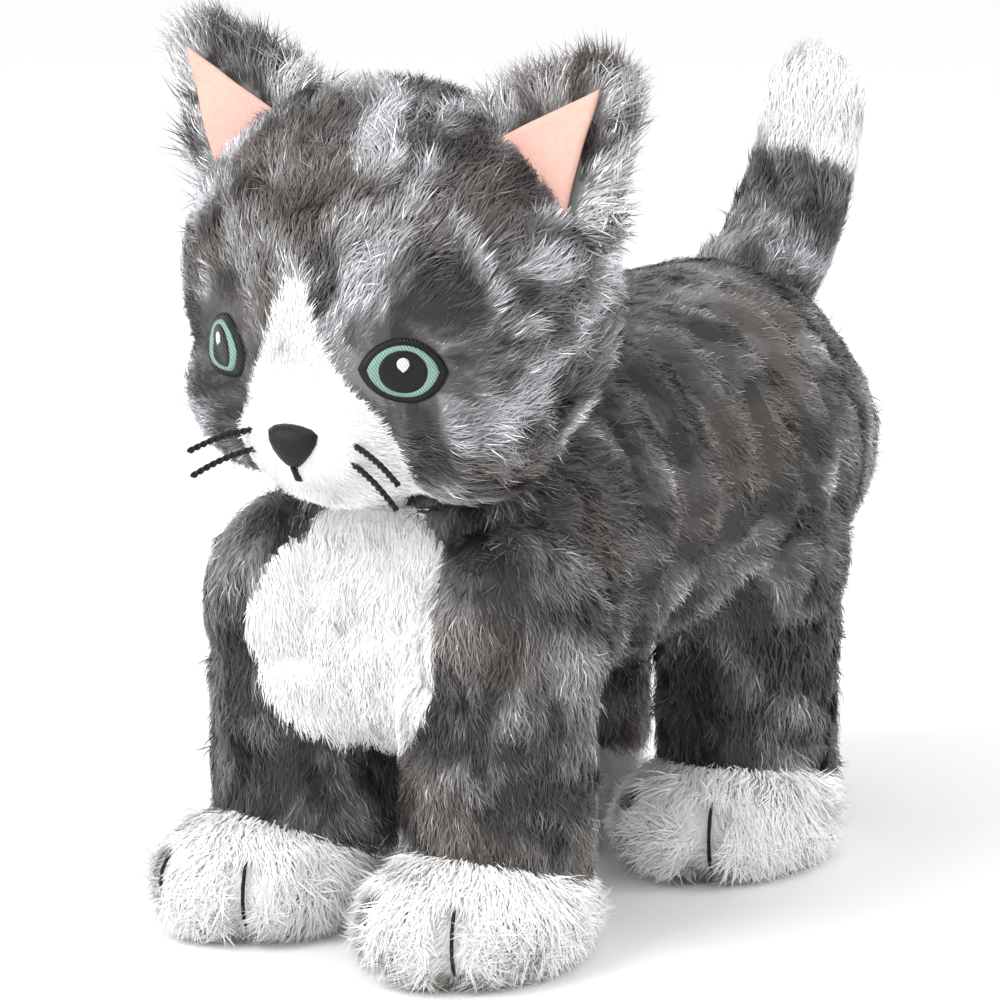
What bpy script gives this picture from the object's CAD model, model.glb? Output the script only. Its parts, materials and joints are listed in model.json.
# %% [markdown]
# # A standing plush kitten
# A soft toy is a few sewn covers pulled over loose filling. What the eye sees is the pile: thousands of
# fine fibres that lie down in one direction. This lesson builds each cover as a smooth skin, plants real
# fibres on it, and leaves the hard facts (size, hinges, eyes and nose) to the frame that is loaded first.

# %% Load the frame
import json
import math
import time

import bmesh
import bpy
from mathutils import Matrix, Vector
from mathutils.bvhtree import BVHTree
from mathutils.kdtree import KDTree


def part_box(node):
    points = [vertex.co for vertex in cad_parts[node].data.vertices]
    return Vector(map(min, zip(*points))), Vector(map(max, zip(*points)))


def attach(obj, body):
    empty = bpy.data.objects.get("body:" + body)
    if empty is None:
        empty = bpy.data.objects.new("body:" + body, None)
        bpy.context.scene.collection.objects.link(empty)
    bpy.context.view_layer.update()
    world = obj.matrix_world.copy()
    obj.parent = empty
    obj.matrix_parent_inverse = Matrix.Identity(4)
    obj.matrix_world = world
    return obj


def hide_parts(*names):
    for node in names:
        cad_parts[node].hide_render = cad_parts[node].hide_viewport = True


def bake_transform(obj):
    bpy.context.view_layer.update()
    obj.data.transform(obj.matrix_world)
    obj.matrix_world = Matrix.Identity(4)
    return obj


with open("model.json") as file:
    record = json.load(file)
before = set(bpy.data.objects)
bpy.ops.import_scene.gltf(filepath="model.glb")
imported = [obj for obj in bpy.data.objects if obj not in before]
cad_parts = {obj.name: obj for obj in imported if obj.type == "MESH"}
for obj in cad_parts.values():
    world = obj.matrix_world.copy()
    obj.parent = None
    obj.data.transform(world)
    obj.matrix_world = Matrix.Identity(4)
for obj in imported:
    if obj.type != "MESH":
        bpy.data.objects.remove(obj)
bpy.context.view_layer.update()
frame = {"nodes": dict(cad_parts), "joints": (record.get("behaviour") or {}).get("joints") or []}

# %% Places that the whole toy shares
mm = 0.001
hinge = {joint["name"]: Vector(joint["pos_m"]) for joint in frame["joints"]}
sides = {"left": 1, "right": -1}
ends = ("front", "hind")
skin_drop = 1.5 * mm  # a skin lies this far inside the frame's surface, and the pile stands on it
print("hinges", {name: tuple(round(v, 3) for v in place) for name, place in hinge.items()})


def box_of(*nodes):
    """The lowest and highest corner of several nodes together."""
    corners = [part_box(node) for node in nodes]
    low = Vector([min(pair[0][axis] for pair in corners) for axis in range(3)])
    high = Vector([max(pair[1][axis] for pair in corners) for axis in range(3)])
    return low, high


# %% [markdown]
# ## Small shape helpers
# Every skin starts from closed ovals or from rings that are bridged into a tube. They may overlap freely,
# because a voxel remesh then melts them into one closed skin, as filling does inside a real cover.
# Metaballs could do the same, but ovals with stated sizes are easier to keep inside the frame.

# %% Ovals, ringed tubes and the melt
def add_oval(bm, centre, half):
    """A closed oval in bm."""
    place = Matrix.Translation(centre) @ Matrix.Diagonal((*half, 1))
    bmesh.ops.create_icosphere(bm, subdivisions=4, radius=1, matrix=place)


def add_ringed(bm, rings, segments=40):
    """A closed tube through oval rings, each given by its centre, its facing and its two half sizes."""
    loops = []
    for centre, facing, wide, tall in rings:
        across, up = Vector((1, 0, 0)), facing.cross(Vector((1, 0, 0))).normalized()
        turn = Matrix((across, up, facing)).transposed().to_4x4()
        place = Matrix.Translation(centre) @ turn @ Matrix.Diagonal((wide, tall, 1, 1))
        made = bmesh.ops.create_circle(bm, cap_ends=False, radius=1, segments=segments, matrix=place)
        loops.append([edge for edge in bm.edges if all(v in made["verts"] for v in edge.verts)])
    for first, second in zip(loops, loops[1:]):
        bmesh.ops.bridge_loops(bm, edges=first + second)
    bmesh.ops.holes_fill(bm, edges=loops[0] + loops[-1], sides=segments)
    bmesh.ops.recalc_face_normals(bm, faces=bm.faces)


def object_from(bm, name):
    """Writes bm to a new object at the origin."""
    mesh = bpy.data.meshes.new(name)
    bm.to_mesh(mesh)
    bm.free()
    made = bpy.data.objects.new(name, mesh)
    bpy.context.scene.collection.objects.link(made)
    return made


def apply_modifiers(piece):
    """Bakes a piece's modifiers into its mesh."""
    view = bpy.context.evaluated_depsgraph_get()
    mesh = bpy.data.meshes.new_from_object(
        piece.evaluated_get(view), preserve_all_data_layers=True, depsgraph=view
    )
    piece.modifiers.clear()
    piece.data = mesh


def melt(bm, name, voxel, rounds):
    """One smooth closed skin from overlapping closed shapes."""
    skin = object_from(bm, name)
    remesh = skin.modifiers.new("melt", "REMESH")
    remesh.mode = "VOXEL"
    remesh.voxel_size = voxel
    smooth = skin.modifiers.new("settle", "SMOOTH")
    smooth.iterations = rounds
    smooth.factor = 0.5
    apply_modifiers(skin)
    print(name, "skin", len(skin.data.vertices), "points")
    return skin


def tree_of(*names):
    """A search tree over the surfaces of the frame's nodes."""
    points, faces = [], []
    for name in names:
        node = frame["nodes"][name]
        start = len(points)
        points += [node.matrix_world @ vert.co for vert in node.data.vertices]
        faces += [[start + index for index in face.vertices] for face in node.data.polygons]
    return BVHTree.FromPolygons(points, faces)


def lift_over(skin, *names, clearance=0.8 * mm):
    """Moves the points of a skin that lie in or too near a filling out over its surface."""
    for name in names:
        tree = tree_of(name)
        for vert in skin.data.vertices:
            place, normal, _, gap = tree.find_nearest(vert.co)
            if gap < 12 * mm and (vert.co - place).dot(normal) < clearance:
                vert.co = place + normal * clearance
    return skin


def outer_skin(names, label, voxel, rounds, drop):
    """One smooth skin around the frame's nodes, a little inside their outer surface."""
    bm = bmesh.new()
    for name in names:
        node = frame["nodes"][name]
        start = len(bm.verts)
        bm.from_mesh(node.data)
        bm.verts.ensure_lookup_table()
        bmesh.ops.transform(bm, matrix=node.matrix_world, verts=bm.verts[start:])
    skin = melt(bm, label, voxel, rounds)
    bm = bmesh.new()
    bm.from_mesh(skin.data)
    groups, waiting = [], set(bm.verts)
    while waiting:
        first = waiting.pop()
        group, edge_of_group = {first}, [first]
        while edge_of_group:
            vert = edge_of_group.pop()
            for edge in vert.link_edges:
                other = edge.other_vert(vert)
                if other not in group:
                    group.add(other)
                    edge_of_group.append(other)
        waiting -= group
        groups.append(group)
    largest = max(groups, key=len)
    bmesh.ops.delete(bm, geom=[vert for vert in bm.verts if vert not in largest], context="VERTS")
    bm.normal_update()
    for vert in bm.verts:
        vert.co -= vert.normal * drop
    bm.to_mesh(skin.data)
    bm.free()
    return skin


# %% [markdown]
# ## The pile
# Plush is a knitted backing with fibres standing out of it. Hair curves would render well, but they are
# not solid shapes and can't be printed or exported, so each fibre here is a tiny bent blade of two faces.
# One node group plants them: it scatters points on a skin, stands a blade on each, and leans it along the
# "nap", a direction stored on the skin. Noise bends the nap so that the fibres gather in tufts.

# %% One fibre
def make_blade(name, slimness):
    """A bent blade one unit long: it rises from its root and then lies forward along +Y."""
    bend = {0: (0.0, 0.0, 1.0), 1: (0.26, 0.50, 0.85), 2: (0.82, 0.84, 0.0)}
    bm = bmesh.new()
    bmesh.ops.create_grid(bm, x_segments=1, y_segments=2, size=1)
    along = bm.verts.layers.float.new("along")
    across = bm.verts.layers.float.new("across")
    for vert in bm.verts:
        step = round(vert.co.y + 1)
        forward, rise, width = bend[step]
        vert[along], vert[across] = step / 2, vert.co.x * width
        vert.co = Vector((vert.co.x * width * slimness / 2, forward, rise))
    bmesh.ops.remove_doubles(bm, verts=bm.verts, dist=slimness / 100)
    return object_from(bm, name)


fine_blade = make_blade("fine_blade", 0.055)
long_blade = make_blade("long_blade", 0.042)
print("blade faces", len(fine_blade.data.polygons))


# %% The planting node group
class Nodes:
    """A short way to add nodes and link them."""

    def __init__(self, tree):
        self.tree = tree

    def add(self, kind, inputs=(), **settings):
        node = self.tree.nodes.new(kind)
        for name, value in settings.items():
            setattr(node, name, value)
        for slot, value in dict(inputs).items():
            if isinstance(value, bpy.types.NodeSocket):
                self.tree.links.new(value, node.inputs[slot])
            else:
                node.inputs[slot].default_value = value
        return node


def new_group(name, kind, inputs, outputs):
    """A node group with named inputs and outputs."""
    tree = bpy.data.node_groups.new(name, kind)
    for label, (socket, value) in inputs.items():
        made = tree.interface.new_socket(name=label, in_out="INPUT", socket_type=socket)
        if value is not None:
            made.default_value = value
    for label, socket in outputs.items():
        tree.interface.new_socket(name=label, in_out="OUTPUT", socket_type=socket)
    return tree


def planting_group():
    """Stands blades on a mesh along its stored nap, and gives every blade its own cell of the bake map."""
    tree = new_group(
        "plush planting",
        "GeometryNodeTree",
        {
            "Skin": ("NodeSocketGeometry", None),
            "Blade": ("NodeSocketObject", None),
            "Density": ("NodeSocketFloat", 1.0e6),
            "Seed": ("NodeSocketInt", 0),
            "Tuft": ("NodeSocketFloat", 1.0),
            "Stray": ("NodeSocketFloat", 0.3),
        },
        {"Coat": "NodeSocketGeometry"},
    )
    nodes = Nodes(tree)
    given = nodes.add("NodeGroupInput").outputs

    def named(label, kind):
        return nodes.add(
            "GeometryNodeInputNamedAttribute", {"Name": label}, data_type=kind
        ).outputs["Attribute"]

    def store(geometry, label, value, kind, domain="POINT"):
        made = nodes.add(
            "GeometryNodeStoreNamedAttribute",
            {"Geometry": geometry, "Name": label, "Value": value},
            data_type=kind,
            domain=domain,
        )
        return made.outputs["Geometry"]

    def vector(operation, first, second):
        return nodes.add("ShaderNodeVectorMath", {0: first, 1: second}, operation=operation).outputs[0]

    def number(operation, first, second=0.0):
        return nodes.add("ShaderNodeMath", {0: first, 1: second}, operation=operation).outputs[0]

    def scaled(source, amount):
        return nodes.add(
            "ShaderNodeVectorMath", {0: source, "Scale": amount}, operation="SCALE"
        ).outputs[0]

    place = nodes.add("GeometryNodeInputPosition").outputs[0]

    def wander(scale, amount):
        swirl = nodes.add("ShaderNodeTexNoise", {"Vector": place, "Scale": scale, "Detail": 1.0})
        centred = vector("SUBTRACT", swirl.outputs["Color"], (0.5, 0.5, 0.5))
        return scaled(centred, amount)

    thick = number("MULTIPLY", named("thick", "FLOAT"), given["Density"])
    planted = nodes.add(
        "GeometryNodeDistributePointsOnFaces",
        {"Mesh": given["Skin"], "Density": thick, "Seed": given["Seed"]},
    )
    broad = scaled(wander(75.0, 1.7), given["Tuft"])
    narrow = scaled(wander(330.0, 1.5), given["Tuft"])
    shake = nodes.add(
        "FunctionNodeRandomValue",
        {"Min": (-1.0, -1.0, -1.0), "Max": (1.0, 1.0, 1.0), "Seed": 3},
        data_type="FLOAT_VECTOR",
    ).outputs["Value"]
    nap = named("nap", "FLOAT_VECTOR")
    lie = vector("ADD", vector("ADD", nap, broad), narrow)
    lie = vector("ADD", lie, scaled(shake, given["Stray"]))
    lean = vector("ADD", vector("ADD", planted.outputs["Normal"], nap), scaled(narrow, 0.8))
    lean = vector("ADD", lean, scaled(shake, number("MULTIPLY", given["Stray"], 0.6)))
    turned = nodes.add(
        "FunctionNodeAxesToRotation",
        {0: lean, 1: lie},
        primary_axis="Z",
        secondary_axis="Y",
    ).outputs[0]
    size = nodes.add("FunctionNodeRandomValue", {2: 0.65, 3: 1.15, "Seed": 7}, data_type="FLOAT")
    length = number("MULTIPLY", named("pile", "FLOAT"), size.outputs[1])
    shade = nodes.add("FunctionNodeRandomValue", {2: 0.0, 3: 1.0, "Seed": 11}, data_type="FLOAT")

    count = nodes.add(
        "GeometryNodeAttributeDomainSize", {0: planted.outputs["Points"]}, component="POINTCLOUD"
    ).outputs["Point Count"]
    columns = number("CEIL", number("SQRT", number("MULTIPLY", count, 1.06)))
    index = nodes.add("GeometryNodeInputIndex").outputs[0]
    column = number("FLOORED_MODULO", index, columns)
    row = number("FLOOR", number("DIVIDE", index, columns))
    cell = nodes.add("ShaderNodeCombineXYZ", {0: column, 1: row, 2: columns}).outputs[0]

    points = planted.outputs["Points"]
    points = store(points, "root", place, "FLOAT_VECTOR")
    points = store(points, "shade", shade.outputs[1], "FLOAT")
    points = store(points, "cell", cell, "FLOAT_VECTOR")
    blade = nodes.add("GeometryNodeObjectInfo", {"Object": given["Blade"]}).outputs["Geometry"]
    stood = nodes.add(
        "GeometryNodeInstanceOnPoints",
        {"Points": points, "Instance": blade, "Rotation": turned, "Scale": length},
    ).outputs[0]
    fibres = nodes.add("GeometryNodeRealizeInstances", {0: stood}).outputs[0]

    split = nodes.add("ShaderNodeSeparateXYZ", {0: named("cell", "FLOAT_VECTOR")}).outputs
    across = number("MULTIPLY_ADD", named("across", "FLOAT"), 0.36)
    across.node.inputs[2].default_value = 0.5
    upward = number("MULTIPLY_ADD", named("along", "FLOAT"), 0.72)
    upward.node.inputs[2].default_value = 0.14
    u = number("DIVIDE", number("ADD", split[0], across), split[2])
    v = number("DIVIDE", number("ADD", split[1], upward), split[2])
    flat = nodes.add("ShaderNodeCombineXYZ", {0: u, 1: number("MULTIPLY", v, 0.92)}).outputs[0]
    fibres = store(fibres, "OFBake", flat, "FLOAT2", "CORNER")

    across_skin = nodes.add("ShaderNodeSeparateXYZ", {0: place}).outputs
    skin_u = number("FRACT", number("MULTIPLY", number("ADD", across_skin[0], across_skin[1]), 2.5))
    skin_v = number("MULTIPLY_ADD", number("FRACT", number("MULTIPLY", across_skin[2], 3.0)), 0.06)
    skin_v.node.inputs[2].default_value = 0.93
    skin_flat = nodes.add("ShaderNodeCombineXYZ", {0: skin_u, 1: skin_v}).outputs[0]
    backing = store(given["Skin"], "root", place, "FLOAT_VECTOR")
    backing = store(backing, "OFBake", skin_flat, "FLOAT2", "CORNER")
    join = nodes.add("GeometryNodeJoinGeometry", {0: fibres})
    tree.links.new(backing, join.inputs[0])
    coat = join.outputs[0]
    for label in ("cell", "across", "nap", "thick", "pile", "id"):
        coat = nodes.add("GeometryNodeRemoveAttribute", {"Geometry": coat, "Name": label}).outputs[0]
    nodes.add("NodeGroupOutput", {"Coat": coat})
    return tree


planting = planting_group()
planting.is_modifier = True
print("planting group has", len(planting.nodes), "nodes")

# %% Planting a coat
coat_density = 1.0


def plant(skin, name, nap, pile, density, seed, blade=fine_blade, thick=None, tuft=1.0, stray=0.3):
    """Turns a skin into a coat. nap, pile and thick are functions of a point; density is fibres per mm2."""
    bm = bmesh.new()
    bm.from_mesh(skin.data)
    bm.normal_update()
    nap_layer = bm.verts.layers.float_vector.new("nap")
    pile_layer = bm.verts.layers.float.new("pile")
    thick_layer = bm.verts.layers.float.new("thick")
    for vert in bm.verts:
        vert[nap_layer] = nap(vert.co, vert.normal)
        vert[pile_layer] = pile(vert.co)
        vert[thick_layer] = 1.0 if thick is None else thick(vert.co)
    bm.to_mesh(skin.data)
    bm.free()
    started = time.time()
    modifier = skin.modifiers.new("pile", "NODES")
    modifier.node_group = planting
    keys = {item.name: item.identifier for item in planting.interface.items_tree if item.in_out == "INPUT"}
    given = {
        "Blade": blade,
        "Density": density * 1.0e6 * coat_density,
        "Seed": seed,
        "Tuft": tuft,
        "Stray": stray,
    }
    for label, value in given.items():
        modifier[keys[label]] = value
    apply_modifiers(skin)
    skin.name = name
    skin.data.name = name
    triangles = sum(len(face.vertices) - 2 for face in skin.data.polygons)
    print(name, "triangles", triangles, "seconds", round(time.time() - started, 1))
    return skin


def regions_of(skin, choose, names):
    """Splits a skin by faces: choose gives a name for each face centre, and each name gets its own skin."""
    made = {}
    for name in names:
        bm = bmesh.new()
        bm.from_mesh(skin.data)
        strangers = [face for face in bm.faces if choose(face.calc_center_median()) != name]
        bmesh.ops.delete(bm, geom=strangers, context="FACES")
        made[name] = object_from(bm, name)
    bpy.data.objects.remove(skin)
    return made


def smoothstep(low, high, value):
    share = min(max((value - low) / (high - low), 0.0), 1.0)
    return share * share * (3 - 2 * share)


# %% [markdown]
# ## Dye and thread
# The grey plush is tie-dyed: soft blotches of charcoal, mid grey, cool grey and taupe. Each fibre takes
# the colour of the spot where it is rooted, so the blotches break up at their edges as real pile does.
# One shader group makes the blotches and a second makes the twist of sewing thread.

# %% The blotch group
def blotch_group():
    tree = new_group(
        "blotched dye",
        "ShaderNodeTree",
        {
            "Place": ("NodeSocketVector", None),
            "Scale": ("NodeSocketFloat", 30.0),
            "Dark": ("NodeSocketColor", (0.032, 0.030, 0.032, 1)),
            "Middle": ("NodeSocketColor", (0.15, 0.142, 0.142, 1)),
            "Light": ("NodeSocketColor", (0.42, 0.42, 0.44, 1)),
            "Taupe": ("NodeSocketColor", (0.16, 0.135, 0.12, 1)),
            "Shift": ("NodeSocketFloat", 0.0),
        },
        {"Color": "NodeSocketColor"},
    )
    nodes = Nodes(tree)
    given = nodes.add("NodeGroupInput").outputs
    swirl = nodes.add(
        "ShaderNodeTexNoise",
        {
            "Vector": given["Place"],
            "Scale": given["Scale"],
            "Detail": 4.0,
            "Roughness": 0.6,
            "Distortion": 1.1,
        },
    )
    level = nodes.add("ShaderNodeMath", {0: swirl.outputs[0], 1: given["Shift"]}, operation="ADD")
    to_middle = nodes.add(
        "ShaderNodeMapRange", {"Value": level.outputs[0], 1: 0.42, 2: 0.50}, interpolation_type="SMOOTHSTEP"
    )
    to_light = nodes.add(
        "ShaderNodeMapRange", {"Value": level.outputs[0], 1: 0.51, 2: 0.61}, interpolation_type="SMOOTHSTEP"
    )
    first = nodes.add(
        "ShaderNodeMix", {0: to_middle.outputs[0], 6: given["Dark"], 7: given["Middle"]}, data_type="RGBA"
    )
    second = nodes.add(
        "ShaderNodeMix", {0: to_light.outputs[0], 6: first.outputs[2], 7: given["Light"]}, data_type="RGBA"
    )
    warmth = nodes.add("ShaderNodeTexNoise", {"Vector": given["Place"], "Scale": 17.0, "Detail": 1.0})
    warm = nodes.add("ShaderNodeMapRange", {"Value": warmth.outputs[0], 1: 0.52, 2: 0.66, 4: 0.6})
    third = nodes.add(
        "ShaderNodeMix", {0: warm.outputs[0], 6: second.outputs[2], 7: given["Taupe"]}, data_type="RGBA"
    )
    nodes.add("NodeGroupOutput", {0: third.outputs[2]})
    return tree


blotched = blotch_group()


# %% Fibre materials
def new_material(name, roughness, specular=0.5, sheen=0.0):
    material = bpy.data.materials.new(name)
    material.use_nodes = True
    shader = material.node_tree.nodes["Principled BSDF"]
    shader.inputs["Roughness"].default_value = roughness
    shader.inputs["Specular IOR Level"].default_value = specular
    shader.inputs["Sheen Weight"].default_value = sheen
    return material, Nodes(material.node_tree), shader


def fibre_finish(nodes, shader, color, root_depth, tip_lift, spread, glitter=1.0):
    """Darkens a fibre at its root, lifts its tip, makes each a little different, and lights up a few."""
    along = nodes.add("ShaderNodeAttribute", attribute_name="along").outputs["Fac"]
    shade = nodes.add("ShaderNodeAttribute", attribute_name="shade").outputs["Fac"]
    depth = nodes.add("ShaderNodeMapRange", {"Value": along, 1: 0.0, 2: 1.0, 3: root_depth, 4: tip_lift})
    each = nodes.add("ShaderNodeMapRange", {"Value": shade, 1: 0.0, 2: 1.0, 3: 1 - spread, 4: 1 + spread})
    both = nodes.add("ShaderNodeMath", {0: depth.outputs[0], 1: each.outputs[0]}, operation="MULTIPLY")
    spark = nodes.add("ShaderNodeMapRange", {"Value": shade, 1: 0.93, 2: 0.95, 3: 1.0, 4: glitter})
    lit = nodes.add("ShaderNodeMath", {0: both.outputs[0], 1: spark.outputs[0]}, operation="MULTIPLY")
    toned = nodes.add("ShaderNodeVectorMath", {0: color, "Scale": lit.outputs[0]}, operation="SCALE")
    nodes.tree.links.new(toned.outputs[0], shader.inputs["Base Color"])


def grey_pile(name, scale, shift, light=(0.46, 0.47, 0.50, 1), taupe=(0.17, 0.145, 0.13, 1)):
    """Silky dyed pile."""
    material, nodes, shader = new_material(name, 0.42, 0.55)
    root = nodes.add("ShaderNodeAttribute", attribute_name="root").outputs["Vector"]
    dye = nodes.add("ShaderNodeGroup", node_tree=blotched)
    nodes.tree.links.new(root, dye.inputs["Place"])
    for label, value in (("Scale", scale), ("Shift", shift), ("Light", light), ("Taupe", taupe)):
        dye.inputs[label].default_value = value
    fibre_finish(nodes, shader, dye.outputs[0], 0.55, 1.35, 0.28, glitter=2.1)
    return material


def white_pile(name, tint=(0.97, 0.97, 0.965, 1), stain=(0.55, 0.50, 0.46, 1), stain_height=None):
    """Undyed pile, with grubby tips near the floor where a stain height is given."""
    material, nodes, shader = new_material(name, 0.6, 0.3)
    root = nodes.add("ShaderNodeAttribute", attribute_name="root").outputs["Vector"]
    cloud = nodes.add("ShaderNodeTexNoise", {"Vector": root, "Scale": 60.0, "Detail": 2.0})
    cloudy = nodes.add("ShaderNodeMapRange", {"Value": cloud.outputs[0], 1: 0.3, 2: 0.7, 3: 0.94, 4: 1.03})
    color = nodes.add("ShaderNodeVectorMath", {0: tint[:3], "Scale": cloudy.outputs[0]}, operation="SCALE")
    color = color.outputs[0]
    if stain_height:
        height = nodes.add("ShaderNodeSeparateXYZ", {0: root}).outputs[2]
        low = nodes.add("ShaderNodeMapRange", {"Value": height, 1: stain_height, 2: 0.0, 3: 0.0, 4: 0.8})
        grubby = nodes.add("ShaderNodeMix", {0: low.outputs[0], 6: color, 7: stain}, data_type="RGBA")
        color = grubby.outputs[2]
    fibre_finish(nodes, shader, color, 0.97, 1.03, 0.03)
    return material


body_pile = grey_pile("body_pile", 26.0, -0.01, light=(0.36, 0.35, 0.35, 1), taupe=(0.17, 0.14, 0.12, 1))
head_pile = grey_pile("head_pile", 30.0, 0.03, light=(0.56, 0.57, 0.60, 1))
ear_pile = grey_pile("ear_pile", 42.0, 0.11, light=(0.74, 0.74, 0.75, 1))
tail_pile = grey_pile("tail_pile", 30.0, -0.02, taupe=(0.15, 0.125, 0.11, 1))
bib_pile = white_pile("bib_pile")
paw_pile = white_pile("paw_pile", stain_height=0.009)
print("fibre materials ready")

# %% Thread, felt and filling
def thread_group():
    """The raised lay of satin stitching, as a height between 0 and 1."""
    tree = new_group(
        "thread lay",
        "ShaderNodeTree",
        {"Place": ("NodeSocketVector", None), "Strands": ("NodeSocketFloat", 900.0)},
        {"Height": "NodeSocketFloat", "Shade": "NodeSocketFloat"},
    )
    nodes = Nodes(tree)
    given = nodes.add("NodeGroupInput").outputs
    wave = nodes.add(
        "ShaderNodeTexWave",
        {"Vector": given["Place"], "Scale": given["Strands"], "Distortion": 1.5, "Detail": 1.0},
        bands_direction="DIAGONAL",
    )
    shade = nodes.add("ShaderNodeMapRange", {"Value": wave.outputs["Fac"], 3: 0.55, 4: 1.15})
    nodes.add("NodeGroupOutput", {"Height": wave.outputs["Fac"], "Shade": shade.outputs[0]})
    return tree


thread_lay = thread_group()


def thread(name, color, strands=420.0, roughness=0.38):
    """Glossy embroidery thread."""
    material, nodes, shader = new_material(name, roughness, 0.25)
    place = nodes.add("ShaderNodeTexCoord").outputs["Object"]
    lay = nodes.add("ShaderNodeGroup", node_tree=thread_lay)
    nodes.tree.links.new(place, lay.inputs["Place"])
    lay.inputs["Strands"].default_value = strands
    toned = nodes.add(
        "ShaderNodeVectorMath", {0: color, "Scale": lay.outputs["Shade"]}, operation="SCALE"
    )
    bump = nodes.add("ShaderNodeBump", {"Height": lay.outputs["Height"], "Strength": 0.6, "Distance": 0.0003})
    nodes.tree.links.new(toned.outputs[0], shader.inputs["Base Color"])
    nodes.tree.links.new(bump.outputs[0], shader.inputs["Normal"])
    return material


def cloudy_cloth(name, low, high, scale, roughness, sheen):
    """Cloth with fine fuzz: felt, or loose fibre."""
    material, nodes, shader = new_material(name, roughness, 0.2, sheen)
    place = nodes.add("ShaderNodeTexCoord").outputs["Object"]
    fuzz = nodes.add(
        "ShaderNodeTexNoise", {"Vector": place, "Scale": scale, "Detail": 5.0, "Roughness": 0.7}
    )
    mix = nodes.add("ShaderNodeMix", {0: fuzz.outputs[0], 6: low, 7: high}, data_type="RGBA")
    bump = nodes.add("ShaderNodeBump", {"Height": fuzz.outputs[0], "Strength": 0.5, "Distance": 0.0006})
    nodes.tree.links.new(mix.outputs[2], shader.inputs["Base Color"])
    nodes.tree.links.new(bump.outputs[0], shader.inputs["Normal"])
    return material


black_thread = thread("black_thread", (0.010, 0.010, 0.011))
green_thread = thread("green_thread", (0.26, 0.43, 0.36))
white_thread = thread("white_thread", (0.9, 0.9, 0.9))
pink_felt = cloudy_cloth("pink_felt", (0.70, 0.38, 0.31, 1), (0.90, 0.58, 0.50, 1), 700.0, 0.9, 0.15)
fibre_fill = cloudy_cloth("fibre_fill", (0.80, 0.80, 0.79, 1), (0.95, 0.95, 0.94, 1), 300.0, 0.9, 0.3)


def dress(piece, *materials):
    """Gives a piece its materials, the first one everywhere."""
    piece.data.materials.clear()
    for material in materials:
        piece.data.materials.append(material)


def sew_on(piece, material, body, slot, *nodes, fill=None):
    """Dresses a piece, lets it ride on a body, and puts it in the place of the frame's nodes."""
    dress(piece, material)
    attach(piece, body)
    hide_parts(*nodes)


def joined(pieces, name):
    """Several pieces as one object."""
    with bpy.context.temp_override(active_object=pieces[0], selected_editable_objects=pieces):
        bpy.ops.object.join()
    pieces[0].name = name
    return pieces[0]


filling_nodes = [name for name in frame["nodes"] if name.endswith("_filling")]
for name in filling_nodes:
    dress(frame["nodes"][name], fibre_fill)
print("filling nodes", len(filling_nodes))

# %% [markdown]
# ## Trunk and legs
# The trunk and the four legs of a plush toy are cut as a few flat panels that run into each other, so their
# pile is one unbroken coat. Here they start as one skin: a ringed trunk, a round hip and a tapering column
# for each leg, melted together. The skin is then split where each leg begins, so that a leg's coat can turn
# with its hinge while its upper edge stays sewn to the trunk.

# %% The body skin
trunk_low, trunk_high = box_of("torso_cover", "chest_bib")
trunk_size = trunk_high - trunk_low
trunk_rings = [  # share of the length, of the half width, and of the height at the bottom and the top
    (0.000, 0.30, 0.24, 0.52),
    (0.020, 0.52, 0.15, 0.60),
    (0.070, 0.74, 0.06, 0.72),
    (0.194, 0.88, 0.00, 0.86),
    (0.426, 0.97, 0.07, 0.95),
    (0.680, 1.00, 0.09, 1.00),
    (0.852, 0.90, 0.11, 0.96),
    (0.950, 0.70, 0.20, 0.84),
    (1.000, 0.36, 0.34, 0.67),
]
leg_column = {  # half width, half depth, and how far back the column stands from its hinge
    "front": (31.0 * mm, 31.0 * mm, -3 * mm),
    "hind": (27.5 * mm, 36.0 * mm, 4 * mm),
}
leg_top, leg_bottom = 88 * mm, 24 * mm
hip_half = Vector((26.5, 35.5, 35.5)) * mm


chest_oval = (Vector((0, -92, 104)) * mm, Vector((42, 29, 43)) * mm)
body_fillings = ["torso_filling"] + [f"leg_{end}_{side}_filling" for end in ends for side in sides]


def body_skin():
    bm = bmesh.new()
    rings = []
    for length, wide, low, high in trunk_rings:
        y = trunk_low.y + skin_drop + length * (trunk_size.y - 2 * skin_drop)
        z_low, z_high = trunk_low.z + low * trunk_size.z, trunk_low.z + high * trunk_size.z
        centre = Vector((0, y, (z_low + z_high) / 2))
        half = (wide * trunk_size.x / 2 - skin_drop, (z_high - z_low) / 2 - skin_drop)
        rings.append((centre, Vector((0, 1, 0)), *half))
    add_ringed(bm, rings)
    add_oval(bm, *chest_oval)
    for end in ends:
        for side, sign in sides.items():
            hip = hinge[f"leg_{end}_{side}_swing"]
            add_oval(bm, hip, hip_half)
            wide, deep, back = leg_column[end]
            middle = (leg_top + leg_bottom) / 2
            place = Matrix.Translation((hip.x - sign * 4 * mm, hip.y + back, middle))
            shape = Matrix.Diagonal((wide, deep, 1, 1))
            depth = leg_top - leg_bottom
            bmesh.ops.create_cone(
                bm, cap_ends=True, segments=40, radius1=0.97, radius2=1.0, depth=depth, matrix=place @ shape
            )
    return lift_over(melt(bm, "body_skin", 2.8 * mm, 8), *body_fillings)


body = body_skin()

# %% A dish for the head
# The head sits down into the front of the trunk, so the skin there is pressed in to leave it room.
head_room = Vector((75.0, 52.0, 65.5)) * mm
skull_middle = Vector((0, -99, 212)) * mm


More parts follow.
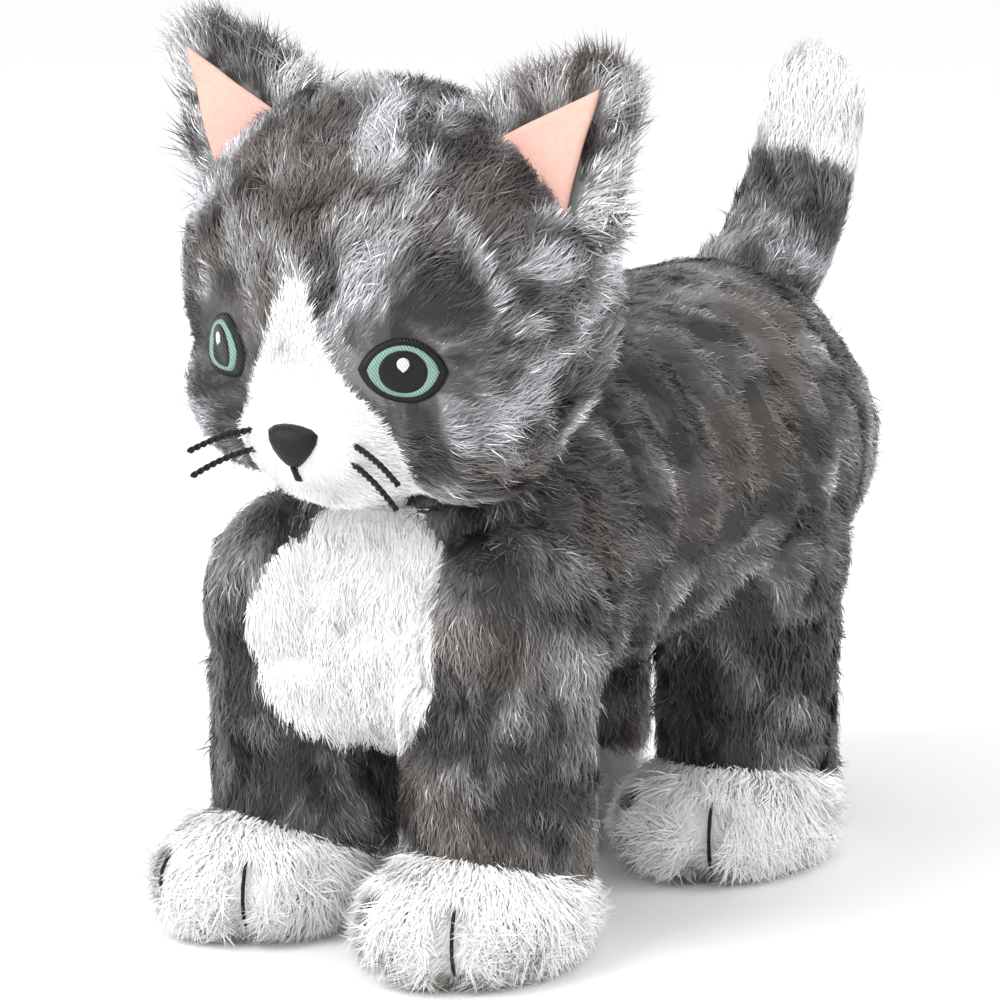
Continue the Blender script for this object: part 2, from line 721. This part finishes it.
def press_dish(skin, centre, half):
    bm = bmesh.new()
    bm.from_mesh(skin.data)
    pressed = []
    for vert in bm.verts:
        offset = vert.co - centre
        reach = Vector((offset.x / half.x, offset.y / half.y, offset.z / half.z)).length
        if reach < 1:
            vert.co = centre + offset / max(reach, 0.2)
            pressed.append(vert)
    bmesh.ops.smooth_vert(bm, verts=pressed, factor=0.5, use_axis_x=True, use_axis_y=True, use_axis_z=True)
    bm.to_mesh(skin.data)
    bm.free()
    print("pressed in", len(pressed), "points")


press_dish(body, skull_middle, head_room)

# %% [markdown]
# The flanks of the real toy gather in soft upright folds behind the shoulder, where the long side panel
# is eased onto the shorter belly panel. They are raised on the skin as waves along the trunk.

# %% Flank folds
fold_length, fold_height = 21 * mm, 5.5 * mm


def raise_folds(skin):
    bm = bmesh.new()
    bm.from_mesh(skin.data)
    bm.normal_update()
    for vert in bm.verts:
        place = vert.co
        share = smoothstep(-66 * mm, -46 * mm, place.y) * (1 - smoothstep(48 * mm, 84 * mm, place.y))
        share *= smoothstep(78 * mm, 104 * mm, place.z) * smoothstep(18 * mm, 44 * mm, abs(place.x))
        bend = 26 * mm * math.sin((place.z - 80 * mm) * 14) + 3 * mm * math.sin(place.z * 90 + place.x * 40)
        wave = 0.5 + 0.5 * math.cos(2 * math.pi * (place.y - bend) / fold_length)
        vert.co = place + vert.normal * fold_height * share * (wave**0.7 - 0.25)
    bm.to_mesh(skin.data)
    bm.free()


raise_folds(body)
lift_over(body, *body_fillings)
lift_over(body, *body_fillings)  # a second time, for points that the first lift moved under a neighbour


def puff(skin, centre, reach, amount):
    """Swells the skin round a place, most at its middle."""
    bm = bmesh.new()
    bm.from_mesh(skin.data)
    bm.normal_update()
    for vert in bm.verts:
        share = 1 - smoothstep(0.6 * reach, reach, (vert.co - centre).length)
        vert.co += vert.normal * amount * share
    bm.to_mesh(skin.data)
    bm.free()


puff(body, hinge["tail_lift"], 42 * mm, 3.0 * mm)  # the rim of the tail's opening stays covered
for side, sign in sides.items():
    for end in ends:
        hip = hinge[f"leg_{end}_{side}_swing"]
        puff(body, hip + Vector((sign * 14, 0, 24)) * mm, 44 * mm, 1.6 * mm)

# %% Which part of the skin is which
coat_top = 106 * mm
bib_middle, bib_half = Vector((0, 0, 105.5)) * mm, Vector((38, 0, 41.5)) * mm


def body_region(point):
    """The name of the cover that a point of the body skin belongs to."""
    across, up = (point.x - bib_middle.x) / bib_half.x, (point.z - bib_middle.z) / bib_half.z
    if point.y < -78 * mm and across * across + up * up < 1 and abs(point.x) < 46 * mm:
        return "chest_bib_coat"
    for end in ends:
        for side, sign in sides.items():
            hip = hinge[f"leg_{end}_{side}_swing"]
            reach = Vector(((point.x - hip.x) / 36, (point.y - hip.y) / 44)).length / mm
            if reach < 1 and point.z < coat_top and sign * point.x > 7 * mm:
                return f"leg_{end}_{side}_coat"
    return "torso_fore_coat" if point.y < 5 * mm else "torso_rear_coat"


leg_names = [f"leg_{end}_{side}" for end in ends for side in sides]
body_names = ["chest_bib_coat", "torso_fore_coat", "torso_rear_coat"] + [f"{leg}_coat" for leg in leg_names]
body_parts = regions_of(body, body_region, body_names)
print({name: len(part.data.polygons) for name, part in body_parts.items()})


# %% How the body's pile lies
def body_nap(point, normal):
    """Back along the trunk and down its sides, straight down the legs and the chest."""
    leg_share = 1 - smoothstep(70 * mm, 120 * mm, point.z)
    chest_share = 1 - smoothstep(-105 * mm, -80 * mm, point.y)
    down_share = max(leg_share, chest_share)
    back = Vector((0, 1.0, -0.55))
    down = Vector((0, 0.12, -1.0))
    return (back.lerp(down, down_share)) * 0.95


def body_length(point):
    rump = smoothstep(70 * mm, 115 * mm, point.y)
    chest = 1 - smoothstep(-110 * mm, -90 * mm, point.y)
    flank = smoothstep(-66 * mm, -46 * mm, point.y) * smoothstep(84 * mm, 104 * mm, point.z)
    return (8.0 - max(2.0 * rump, 1.5 * chest, 2.3 * flank * (1 - rump))) * mm


def under_head(point):
    """Sparse where the head covers the trunk."""
    offset = point - skull_middle
    reach = Vector((offset.x / 75, offset.y / 52, offset.z / 66)).length / mm
    return smoothstep(0.95, 1.08, reach)


seed = 10
body_coats = {}
for name, part in body_parts.items():
    seed += 1
    white = name == "chest_bib_coat"
    density = 2.6 if white else 1.28
    coat = plant(part, name, body_nap, body_length, density, seed, thick=under_head)
    dress(coat, bib_pile if white else body_pile)
    body_coats[name] = coat

# %% Sew the coats to the frame's bodies
for name in ("chest_bib_coat", "torso_fore_coat", "torso_rear_coat"):
    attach(body_coats[name], "torso")
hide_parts("chest_bib")
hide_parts("torso_cover")
for leg in leg_names:
    coat = body_coats[f"{leg}_coat"]
    hip = hinge[f"{leg}_swing"]
    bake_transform(coat)
    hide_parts(f"{leg}_cover")
print("body coats sewn on")

# %% [markdown]
# ## Head
# The head is a round skull with a fuller face and a short muzzle, sewn from grey panels around a white
# one: a narrow blaze between the eyes that widens over the muzzle. The pile radiates from the nose, and it
# is trimmed short around the eyes and the nose so that the embroidery shows.

# %% The head skin
head_ovals = [  # skull, face, muzzle, and a cheek on each side
    (Vector((0, -100, 212)) * mm, Vector((78.5, 48.5, 66.0)) * mm),
    (Vector((0, -112, 204)) * mm, Vector((53.0, 43.5, 54.0)) * mm),
    (Vector((0, -128, 172)) * mm, Vector((35, 28, 25)) * mm),
    (Vector((36, -113, 181)) * mm, Vector((31, 31, 31)) * mm),
    (Vector((-36, -113, 181)) * mm, Vector((31, 31, 31)) * mm),
]


def head_skin():
    bm = bmesh.new()
    for centre, half in head_ovals:
        add_oval(bm, centre, half - Vector((1, 1, 1)) * skin_drop)
    return lift_over(melt(bm, "head_skin", 2.0 * mm, 5), "head_filling")


nose_point = Vector((0, -154, 174)) * mm
eye_turn = math.radians(38)
blaze_shape = ((221, 3), (204, 10), (186, 22), (172, 31), (140, 31))  # height and half width, in mm
blaze = [(height * mm, half_width * mm) for height, half_width in blaze_shape]


def blaze_half_width(height):
    """Half the width of the white panel at a height: it narrows to a point above the eyes."""
    if height > blaze[0][0]:
        return 0.0
    for (top, narrow), (bottom, wide) in zip(blaze, blaze[1:]):
        if height >= bottom:
            return narrow + (wide - narrow) * (top - height) / (top - bottom)
    return blaze[-1][1]


def head_region(point):
    white = point.y < -110 * mm and abs(point.x) < blaze_half_width(point.z)
    return "face_panel_coat" if white else "head_coat"


eye_middle = {sign: sum(box_of(f"eye_{side}_outline"), Vector()) / 2 for side, sign in sides.items()}
for sign, place in eye_middle.items():
    place.x -= sign * 2 * mm


def eye_reach(point):
    """0 at the middle of the nearer eye, and 1 on the rim of its outline."""
    sign = 1 if point.x > 0 else -1
    across = Vector((math.cos(eye_turn), sign * math.sin(eye_turn), 0))
    offset = point - eye_middle[sign]
    if offset.length > 45 * mm:
        return 9.0
    return math.hypot(offset.dot(across) / (14.5 * mm), offset.z / (11.0 * mm))


def head_nap(point, normal):
    away = point - nose_point
    away.normalize()
    lift = smoothstep(220 * mm, 262 * mm, point.z)
    return (away + Vector((0, 0, 0.25 * lift))) * (1.15 - 0.45 * lift)


def head_length(point):
    far_from_eye = smoothstep(1.0, 2.6, eye_reach(point))
    far_from_nose = smoothstep(9 * mm, 32 * mm, (point - nose_point).length)
    full = 7.0 if abs(point.x) >= blaze_half_width(point.z) else 5.0
    return (2.2 + (full - 2.2) * min(far_from_eye, far_from_nose)) * mm


def clear_of_face(point):
    """No fibres under the eyes and the nose."""
    eyes = smoothstep(0.98, 1.12, eye_reach(point))
    nose = smoothstep(0.8, 1.0, math.hypot(point.x / (9.5 * mm), (point.z - 173.5 * mm) / (7.5 * mm)))
    if point.y > -135 * mm:
        nose = 1.0
    return eyes * nose


smooth_head = head_skin()
head_surface = BVHTree.FromPolygons(
    [vert.co.copy() for vert in smooth_head.data.vertices],
    [list(face.vertices) for face in smooth_head.data.polygons],
)
head_parts = regions_of(smooth_head, head_region, ["head_coat", "face_panel_coat"])
for name, cover, density, pile_material, slot in (
    ("head_coat", "head_cover", 1.45, head_pile, "grey_plush"),
    ("face_panel_coat", "face_panel", 3.4, bib_pile, "white_plush"),
):
    seed += 1
    coat = plant(head_parts[name], name, head_nap, head_length, density, seed, thick=clear_of_face)
    sew_on(coat, pile_material, "head", slot, cover, fill=0.85)

# %% [markdown]
# ## Ears
# Each ear is two layers of plush sewn around the edge, with a felt triangle in front. The long pale fringe
# stands out past the edge. The skin follows the frame's ear and the fringe grows from its rim and its back.

# %% Ear coats
def felt_triangle(side, sign):
    """A soft felt triangle that is a little domed and has a slightly wavy edge."""
    node = frame["nodes"][f"ear_{side}_lining"]
    corners = [node.matrix_world @ vert.co for vert in node.data.vertices]
    front = box_of(f"ear_{side}_lining")[0].y
    apex = max(corners, key=lambda place: place.z)
    inner = min(corners, key=lambda place: sign * place.x)
    outer = min(corners, key=lambda place: place.z)
    middle = (apex + inner + outer) / 3
    apex = apex + (apex - middle).normalized() * 6 * mm
    bm = bmesh.new()
    rim = [bm.verts.new((place.x, front, place.z)) for place in (apex, inner, outer)]
    bm.faces.new(rim)
    bmesh.ops.subdivide_edges(bm, edges=bm.edges[:], cuts=14, use_grid_fill=True)
    for vert in bm.verts:
        gap = (vert.co - Vector((middle.x, front, middle.z))).length
        dome = 1 - smoothstep(2 * mm, 22 * mm, gap)
        wave = math.sin(vert.co.x * 310) * math.sin(vert.co.z * 270 + 1.0)
        vert.co.y -= (0.6 + 1.6 * dome + 0.35 * wave) * mm
    bmesh.ops.recalc_face_normals(bm, faces=bm.faces)
    piece = object_from(bm, f"ear_{side}_felt")
    solid = piece.modifiers.new("thickness", "SOLIDIFY")
    solid.thickness = 1.2 * mm
    solid.offset = 0
    apply_modifiers(piece)
    piece.data.shade_smooth()
    return piece


for side, sign in sides.items():
    ear_skin = outer_skin([f"ear_{side}_cover"], "ear_skin", 1.6 * mm, 3, 1.0 * mm)
    lining = tree_of(f"ear_{side}_lining")
    low, high = box_of(f"ear_{side}_cover")
    ear_root = Vector(((low.x + high.x) / 2 - sign * 8 * mm, (low.y + high.y) / 2, low.z))

    def ear_nap(point, normal):
        away = (point - ear_root).normalized()
        out = Vector((normal.x, 0.3 * normal.y, normal.z))
        return away * 1.3 + out * 0.5

    def ear_length(point):
        gap = lining.find_nearest(point)[3]
        return (4.0 + 10.0 * smoothstep(2 * mm, 11 * mm, gap)) * mm

    def off_lining(point):
        return smoothstep(1.2 * mm, 3.2 * mm, lining.find_nearest(point)[3])

    seed += 1
    name = f"ear_{side}_coat"
    coat = plant(
        ear_skin, name, ear_nap, ear_length, 2.2, seed, long_blade, thick=off_lining, tuft=0.9, stray=0.4
    )
    sew_on(coat, ear_pile, f"ear_{side}", "grey_plush", f"ear_{side}_cover", fill=0.5)
    felt = felt_triangle(side, sign)
    sew_on(felt, pink_felt, f"ear_{side}", "pink_felt", f"ear_{side}_lining")

# %% [markdown]
# ## Tail
# One tube of grey plush ends in a white tip. The tail's pile is the longest on the body and points to the
# tip, where it makes a soft tassel.

# %% Tail coats
tail_tree = {name: tree_of(name) for name in ("tail_cover", "tail_tip")}


def tail_region(point):
    gaps = {name: tree.find_nearest(point)[3] for name, tree in tail_tree.items()}
    return "tail_coat" if gaps["tail_cover"] <= gaps["tail_tip"] else "tail_tip_coat"


def tail_nap(point, normal):
    rise = smoothstep(170 * mm, 230 * mm, point.z)
    return Vector((0, 1 - 0.75 * rise, 0.5 + 0.6 * rise)) * 1.25


def tail_length(point):
    return (8 + 3 * smoothstep(200 * mm, 245 * mm, point.z)) * mm


tail_nodes = ["tail_cover", "tail_tip", "tail_filling"]
tail_skin = outer_skin(tail_nodes, "tail_skin", 2.0 * mm, 3, -2.5 * mm)
tip_start = 236 * mm
for vert in tail_skin.data.vertices:  # the tip is blunter than the frame's
    vert.co.z = min(vert.co.z, tip_start + 0.7 * (vert.co.z - tip_start))
lift_over(tail_skin, "tail_filling")
tail_parts = regions_of(tail_skin, tail_region, ["tail_coat", "tail_tip_coat"])
for name, cover, material, slot in (
    ("tail_coat", "tail_cover", tail_pile, "grey_plush"),
    ("tail_tip_coat", "tail_tip", bib_pile, "white_plush"),
):
    seed += 1
    coat = plant(tail_parts[name], name, tail_nap, tail_length, 1.5, seed, long_blade)
    sew_on(coat, material, "tail", slot, cover, fill=0.8)

# %% [markdown]
# ## Paws
# The white paws are round and firm, with a felt sole. Two stitches pull the pile in at the front and so
# part each paw into three toes. Around a stitch the pile is short and leans away from the thread.

# %% Paw coats and toe stitches
paw_half = Vector((32, 42, 23)) * mm
paw_middle_height = 17 * mm
floor_gap = 0.3 * mm
sole_height = 2.2 * mm  # no pile grows below this
stitch_angles = (-25, 25)
stitch_heights = [z * mm for z in (6, 9, 13, 17, 21, 25, 29)]


def paw_surface(centre, angle, height, lift):
    """The point of the paw's oval at an angle from the toe axis and at a height, lifted outward."""
    across, forward = math.sin(angle), -math.cos(angle)
    reach = 1 / math.hypot(across / paw_half.x, forward / paw_half.y)
    share = math.sqrt(max(0.0, 1 - ((height - centre.z) / paw_half.z) ** 2))
    flat = reach * share + lift
    return Vector((centre.x + across * flat, centre.y + forward * flat, height))


def tube(name, path, radius, segments=10):
    """A closed round tube along a path, narrowed at both ends."""
    bm = bmesh.new()
    loops = []
    for index, place in enumerate(path):
        before, after = path[max(index - 1, 0)], path[min(index + 1, len(path) - 1)]
        facing = (after - before).normalized()
        turn = facing.to_track_quat("Z", "Y").to_matrix().to_4x4()
        end = index in (0, len(path) - 1)
        made = bmesh.ops.create_circle(
            bm,
            cap_ends=end,
            radius=radius * (0.55 if end else 1.0),
            segments=segments,
            matrix=Matrix.Translation(place) @ turn,
        )
        loops.append([edge for edge in bm.edges if all(v in made["verts"] for v in edge.verts)])
    for first, second in zip(loops, loops[1:]):
        bmesh.ops.bridge_loops(bm, edges=first + second)
    bmesh.ops.recalc_face_normals(bm, faces=bm.faces)
    made = object_from(bm, name)
    made.data.shade_smooth()
    return made


for end in ends:
    for side, sign in sides.items():
        paw = f"paw_{end}_{side}"
        low, high = box_of(f"{paw}_cover")
        centre = Vector(((low.x + high.x) / 2, (low.y + high.y) / 2, paw_middle_height))
        lines = [
            [paw_surface(centre, math.radians(angle), z, 1.0 * mm) for z in stitch_heights]
            for angle in stitch_angles
        ]

        stitch_tree = KDTree(2 * len(stitch_heights))
        for index, place in enumerate(lines[0] + lines[1]):
            stitch_tree.insert(place, index)
        stitch_tree.balance()

        def nearest_stitch(point):
            return point - stitch_tree.find(point)[0]

        def paw_nap(point, normal):
            away = point - centre
            away.z = min(away.z, 0) - 14 * mm
            gap = nearest_stitch(point)
            push = 1 - smoothstep(3 * mm, 9 * mm, gap.length)
            return away.normalized() * 0.95 + gap.normalized() * push * 0.8

        def paw_length(point):
            gap = nearest_stitch(point).length
            low_share = smoothstep(0, 6 * mm, point.z)
            return (3.0 + 7.5 * smoothstep(1.5 * mm, 7.0 * mm, gap) * (0.45 + 0.55 * low_share)) * mm

        def off_sole(point):
            if point.z < sole_height:
                return 0.0
            return smoothstep(0.8 * mm, 2.2 * mm, nearest_stitch(point).length)

        bm = bmesh.new()
        add_oval(bm, centre, paw_half - Vector((1, 1, 1)) * skin_drop)
        skin = melt(bm, "paw_skin", 2.0 * mm, 2)
        for vert in skin.data.vertices:
            vert.co.z = max(vert.co.z, 1.7 * mm)
        seed += 1
        name = f"{paw}_coat"
        coat = plant(skin, name, paw_nap, paw_length, 2.4, seed, thick=off_sole, tuft=0.7, stray=0.35)
        for vert in coat.data.vertices:
            vert.co.z = max(vert.co.z, floor_gap)
        leg = f"leg_{end}_{side}"
        sew_on(coat, paw_pile, leg, "white_plush", f"{paw}_cover", fill=0.9)
        stitches = joined([tube(f"{paw}_stitch", line, 0.65 * mm) for line in lines], f"{paw}_thread")
        sew_on(stitches, black_thread, leg, "black_thread", f"{paw}_stitches")
        dress(frame["nodes"][f"{paw}_sole"], pink_felt)
print("paws done")

# %% [markdown]
# ## Eyes, nose and whiskers
# These are embroidered in satin stitch: glossy thread laid close, so each patch stands up from the cloth
# as a low pad. An eye is a black almond, a mint ring, a black pupil and a white glint, one over another.
# Each pad is drawn flat, cut into a fine mesh, and laid on the head's skin at its own height.

# %% Satin pads
def almond(length, height, count=18):
    """The outline of a pointed oval, from its inner corner round to the start."""
    radius = (length * length / 4 + height * height / 4) / height
    half = math.asin(length / 2 / radius)
    upper = []
    for step in range(count + 1):
        angle = -half + 2 * half * step / count
        upper.append((radius * math.sin(angle), radius * math.cos(angle) - (radius - height / 2)))
    return upper + [(x, -y) for x, y in reversed(upper[1:-1])]


def disc(wide, tall, rise=0.0, count=32):
    turns = [2 * math.pi * step / count for step in range(count)]
    return [(wide * math.cos(turn), rise + tall * math.sin(turn)) for turn in turns]


def satin_pad(name, outline, centre, across, looking, low, height):
    """A domed pad over an outline: its edge is low above the skin, and its middle is at height."""
    upward = looking.cross(across) * -1
    if upward.z < 0:
        upward = -upward
    rings = 8
    bm = bmesh.new()

    def laid(u, v, lift):
        place = centre + across * u + upward * v + looking * 40 * mm
        hit = head_surface.ray_cast(place, -looking)[0]
        hit = hit if hit is not None else centre + across * u + upward * v
        return hit + looking * lift

    loops = []
    for ring in range(rings + 1):
        share = 1 - ring / (rings + 1)
        dome = math.sqrt(max(0.0, 1 - share**4))
        lift = low + (height - low) * dome
        loops.append([bm.verts.new(laid(u * share, v * share, lift)) for u, v in outline])
    base = [bm.verts.new(laid(u, v, -1.0 * mm)) for u, v in outline]
    loops.insert(0, base)
    count = len(outline)
    for first, second in zip(loops, loops[1:]):
        for index in range(count):
            after = (index + 1) % count
            bm.faces.new((first[index], first[after], second[after], second[index]))
    bm.faces.new(loops[-1])
    bm.faces.new(list(reversed(base)))
    bmesh.ops.recalc_face_normals(bm, faces=bm.faces)
    made = object_from(bm, name)
    made.data.shade_smooth()
    return made


for side, sign in sides.items():
    looking = Vector((sign * math.sin(eye_turn), -math.cos(eye_turn), 0))
    across = Vector((math.cos(eye_turn), sign * math.sin(eye_turn), 0))
    centre = eye_middle[sign]
    parts = (
        ("outline", almond(28 * mm, 20.5 * mm), 0.6, 1.9, black_thread, "black_thread"),
        ("iris", almond(22.5 * mm, 16.5 * mm), 1.9, 2.6, green_thread, "green_thread"),
        ("pupil", disc(7.6 * mm, 6.8 * mm), 2.6, 3.2, black_thread, "black_thread"),
        ("glint", disc(2.0 * mm, 2.0 * mm, 2.6 * mm), 3.2, 3.8, white_thread, "white_thread"),
    )
    for part, outline, low, height, material, slot in parts:
        pad = satin_pad(f"eye_{side}_{part}_satin", outline, centre, across, looking, low * mm, height * mm)
        sew_on(pad, material, "head", slot, f"eye_{side}_{part}")

nose_outline = [
    (-9.5, 4.0), (-7.0, 5.6), (-3.5, 6.4), (0.0, 6.6), (3.5, 6.4), (7.0, 5.6), (9.5, 4.0),
    (9.0, 1.0), (7.0, -2.2), (4.2, -5.2), (1.8, -7.0), (0.0, -7.4), (-1.8, -7.0), (-4.2, -5.2),
    (-7.0, -2.2), (-9.0, 1.0),
]
nose_outline = [(u * mm, v * mm) for u, v in nose_outline]
nose_centre = Vector((0, -150, 171.0)) * mm
ahead, rightward = Vector((0, -1, 0)), Vector((1, 0, 0))
nose_pad = satin_pad("nose_satin", nose_outline, nose_centre, rightward, ahead, 1.2 * mm, 3.0 * mm)
mouth_outline = [(-0.7, 2.6), (0.7, 2.6), (0.8, -2.6), (-0.8, -2.6)]
mouth_outline = [(u * mm, v * mm) for u, v in mouth_outline]
mouth_centre = nose_centre - Vector((0, 0, 9.6)) * mm
mouth_pad = satin_pad("mouth_satin", mouth_outline, mouth_centre, rightward, ahead, 1.6 * mm, 2.2 * mm)
for pad, node in ((nose_pad, "nose"), (mouth_pad, "mouth_stitch")):
    sew_on(pad, black_thread, "head", "black_thread", node)

# %% [markdown]
# A whisker is a doubled black thread, knotted inside the muzzle and left about 23 mm long. Two thin tubes
# are wound around one another, so that the pair reads as one twisted cord.

# %% Whiskers
whisker_runs = {  # node: root and reach in mm for the toy's left side
    "upper": (Vector((20, 0, 172.5)), Vector((22, -6, -9.0))),
    "lower": (Vector((19, 0, 166.5)), Vector((22, -6, -11.0))),
}
strand_radius, twist_radius, twists = 0.62 * mm, 0.5 * mm, 5
whisker_steps, whisker_arch = 40, 1.0 * mm

for side, sign in sides.items():
    for level, (root, reach) in whisker_runs.items():
        start = Vector((sign * root.x, -180, root.z)) * mm
        start = head_surface.ray_cast(start, Vector((0, 1, 0)))[0] + Vector((0, 0.5, 0)) * mm
        run = Vector((sign * reach.x, reach.y, reach.z)) * mm
        side_way = run.cross(Vector((0, 0, 1))).normalized()
        up_way = side_way.cross(run).normalized()
        strands = []
        for phase in (0.0, math.pi):
            path = []
            for step in range(whisker_steps + 1):
                share = step / whisker_steps
                sag = up_way * math.sin(share * math.pi) * whisker_arch
                turn = phase + share * twists * 2 * math.pi
                wind = (side_way * math.cos(turn) + up_way * math.sin(turn)) * twist_radius
                path.append(start + run * share + sag + wind)
            strands.append(tube(f"whisker_{side}_{level}_thread", path, strand_radius, segments=8))
        whisker = joined(strands, strands[0].name)
        sew_on(whisker, black_thread, "head", "black_cord", f"whisker_{side}_{level}")
print("face done")

# %% [markdown]
# ## Studio
# A soft toy shows best on a plain white ground. It stands on a pale floor under one large soft lamp in
# front and a small one behind, with an even pale world filling the shadows. The lens is long, so the toy
# looks as flat as it does from a few steps away.

# %% Camera, light and floor
for blade in (fine_blade, long_blade):
    bpy.data.objects.remove(blade)

view_azimuth, view_elevation = math.radians(36.2), math.radians(12.8)
toward_camera = Vector(
    (
        math.sin(view_azimuth) * math.cos(view_elevation),
        -math.cos(view_azimuth) * math.cos(view_elevation),
        math.sin(view_elevation),
    )
)
target = Vector((93.3, -171.7, 169.1)) * mm
camera_data = bpy.data.cameras.new("camera")
camera_data.lens = 190.2
camera_data.sensor_width = 36
camera = bpy.data.objects.new("camera", camera_data)
camera.location = target + toward_camera * 1.5847
camera.rotation_euler = (-toward_camera).to_track_quat("-Z", "Y").to_euler()
bpy.context.scene.collection.objects.link(camera)
bpy.context.scene.camera = camera


def lamp(name, place, aim, power, size, color=(1, 1, 1)):
    data = bpy.data.lights.new(name, "AREA")
    data.energy, data.size, data.color = power, size, color
    made = bpy.data.objects.new(name, data)
    made.location = place
    made.rotation_euler = (Vector(aim) - Vector(place)).to_track_quat("-Z", "Y").to_euler()
    bpy.context.scene.collection.objects.link(made)
    return made


lamp("key", (-0.35, -1.1, 1.25), (0, 0, 0.15), 15, 0.8)
lamp("rim", (1.0, 0.7, 0.9), (0, 0, 0.15), 5, 0.6)

world = bpy.data.worlds.new("studio")
world.use_nodes = True
world.node_tree.nodes["Background"].inputs["Color"].default_value = (1, 1, 1, 1)
world.node_tree.nodes["Background"].inputs["Strength"].default_value = 1.0
bpy.context.scene.world = world

bm = bmesh.new()
bmesh.ops.create_grid(bm, x_segments=1, y_segments=1, size=6)
floor = object_from(bm, "floor")
floor_material, _, floor_shader = new_material("pale_floor", 0.9, 0.1)
floor_shader.inputs["Base Color"].default_value = (0.93, 0.93, 0.93, 1)
dress(floor, floor_material)
bpy.context.scene.view_settings.view_transform = "Standard"
